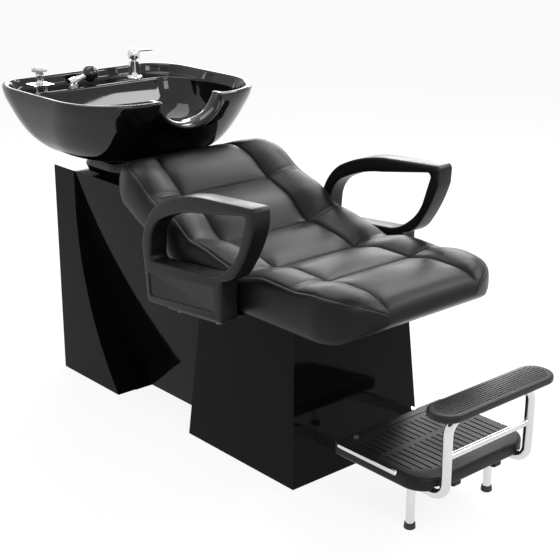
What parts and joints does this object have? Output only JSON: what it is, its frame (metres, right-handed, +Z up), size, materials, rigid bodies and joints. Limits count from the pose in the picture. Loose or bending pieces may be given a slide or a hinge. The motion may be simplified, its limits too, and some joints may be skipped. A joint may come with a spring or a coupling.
{
  "type": "hair washing bed",
  "caption": "Hair washing bed: a reclined quilted seat with loop armrests on a tapered pedestal, a tilting basin with a neck notch on a rear tower, and a footrest with a folding leg rest.",
  "frame": {"origin": "on the floor, under the middle of the bounding box", "axes": "+Z up, +Y from the footrest towards the basin, +X to the right of someone who stands at the footrest and looks at the basin"},
  "size_m": [0.638, 1.62, 0.868],
  "materials": {
    "tower_shell": "polished black",
    "body_shell": "polished black",
    "zinc_screws": "zinc plated",
    "frame_steel": "satin black powder coat",
    "plywood": "raw",
    "upholstery": "smooth black with a low sheen",
    "armrest_foam": "finely grained black",
    "ceramic": "glazed black",
    "chrome": "polished",
    "drain_plastic": "moulded black",
    "collar_plastic": "moulded black",
    "brass_nut": "turned",
    "spray_plastic": "moulded black",
    "rubber_feet": "matt",
    "step_plastic": "moulded black",
    "pad_rubber": "ribbed black"
  },
  "bodies": {
    "base": {"rear_tower": "tower_shell", "access_panel": "tower_shell", "access_screws": "zinc_screws", "middle_body": "body_shell", "front_pedestal": "body_shell", "pedestal_frame": "frame_steel", "seat_plate": "frame_steel", "seat_bolts": "zinc_screws", "seat_frame": "frame_steel", "seat_board": "plywood", "back_board": "plywood", "seat_cushion": "upholstery", "armrest_left": "armrest_foam", "armrest_right": "armrest_foam", "arm_bracket_left": "frame_steel", "arm_bracket_right": "frame_steel", "arm_bolts_left": "zinc_screws", "arm_bolts_right": "zinc_screws", "collar": "collar_plastic", "tilt_base": "frame_steel", "tilt_pin": "zinc_screws", "tilt_screws": "zinc_screws", "footrest_bar_left": "chrome", "footrest_bar_right": "chrome", "footrest_leg_left": "chrome", "footrest_leg_right": "chrome", "rubber_foot_left": "rubber_feet", "rubber_foot_right": "rubber_feet", "step_plate": "step_plastic", "step_screws": "zinc_screws", "step_strip_left": "chrome", "step_strip_right": "chrome", "rest_pins": "zinc_screws"},
    "basin": {"basin": "ceramic", "drain_tail": "chrome", "drain_nut": "drain_plastic", "tilt_saddle": "frame_steel", "mixer_body": "chrome", "mixer_nut": "brass_nut", "spray_socket": "chrome", "breaker_base": "chrome", "breaker_valve": "chrome"},
    "mixer_turn": {"mixer_cartridge": "drain_plastic", "mixer_pin": "zinc_screws"},
    "mixer_lever": {"mixer_lever": "chrome"},
    "spray": {"hand_spray": "spray_plastic"},
    "strainer": {"strainer": "chrome"},
    "leg_rest": {"rest_arch": "chrome", "rest_pad": "pad_rubber", "rest_pad_screws": "zinc_screws"}
  },
  "joints": [
    {"name": "basin_tilt", "type": "hinge", "parent": "base", "child": "basin", "pos_m": [0, 0.56, 0.614], "axis": [-1, 0, 0], "range_deg": [0, 10]},
    {"name": "mixer_turn", "type": "hinge", "parent": "basin", "child": "mixer_turn", "pos_m": [0.145, 0.738, 0.84], "axis": [0, 0, 1], "range_deg": [-50, 50]},
    {"name": "mixer_lift", "type": "hinge", "parent": "mixer_turn", "child": "mixer_lever", "pos_m": [0.145, 0.738, 0.852], "axis": [-0.6691, -0.7431, 0], "range_deg": [0, 18]},
    {"name": "spray_draw", "type": "slide", "parent": "basin", "child": "spray", "axis": [0.9703, 0, 0.2419], "range_m": [0, 0.06]},
    {"name": "strainer_lift", "type": "slide", "parent": "basin", "child": "strainer", "axis": [0, 0, 1], "range_m": [0, 0.03]},
    {"name": "leg_rest_fold", "type": "hinge", "parent": "base", "child": "leg_rest", "pos_m": [0, -0.69, 0.118], "axis": [1, 0, 0], "range_deg": [0, 75]}
  ]
}
